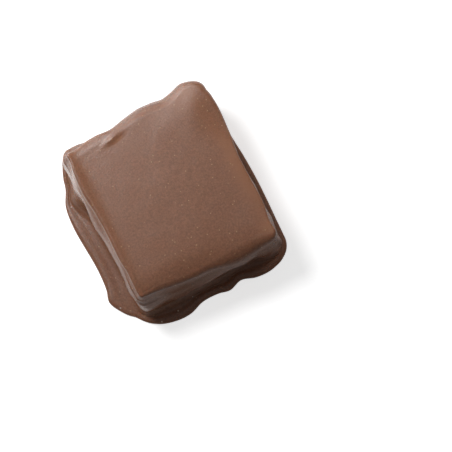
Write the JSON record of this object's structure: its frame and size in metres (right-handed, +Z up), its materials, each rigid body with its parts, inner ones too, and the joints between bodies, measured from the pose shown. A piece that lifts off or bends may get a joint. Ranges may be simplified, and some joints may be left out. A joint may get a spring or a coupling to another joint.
{
  "type": "chocolate-coated nougat square",
  "caption": "Low square of nougat in a smooth milk chocolate coating, with soft edges, draped walls and a thin spread foot that it rests on.",
  "frame": {"origin": "under the middle of the piece's outline, on the surface it rests on", "axes": "+Z up, +X along the front wall, +Y from the front wall to the back wall, which is the longest extent"},
  "size_m": [0.0374, 0.0408, 0.0147],
  "materials": {
    "milk_chocolate": null
  },
  "bodies": {
    "root": {"coated_nougat": "milk_chocolate"}
  },
  "joints": []
}
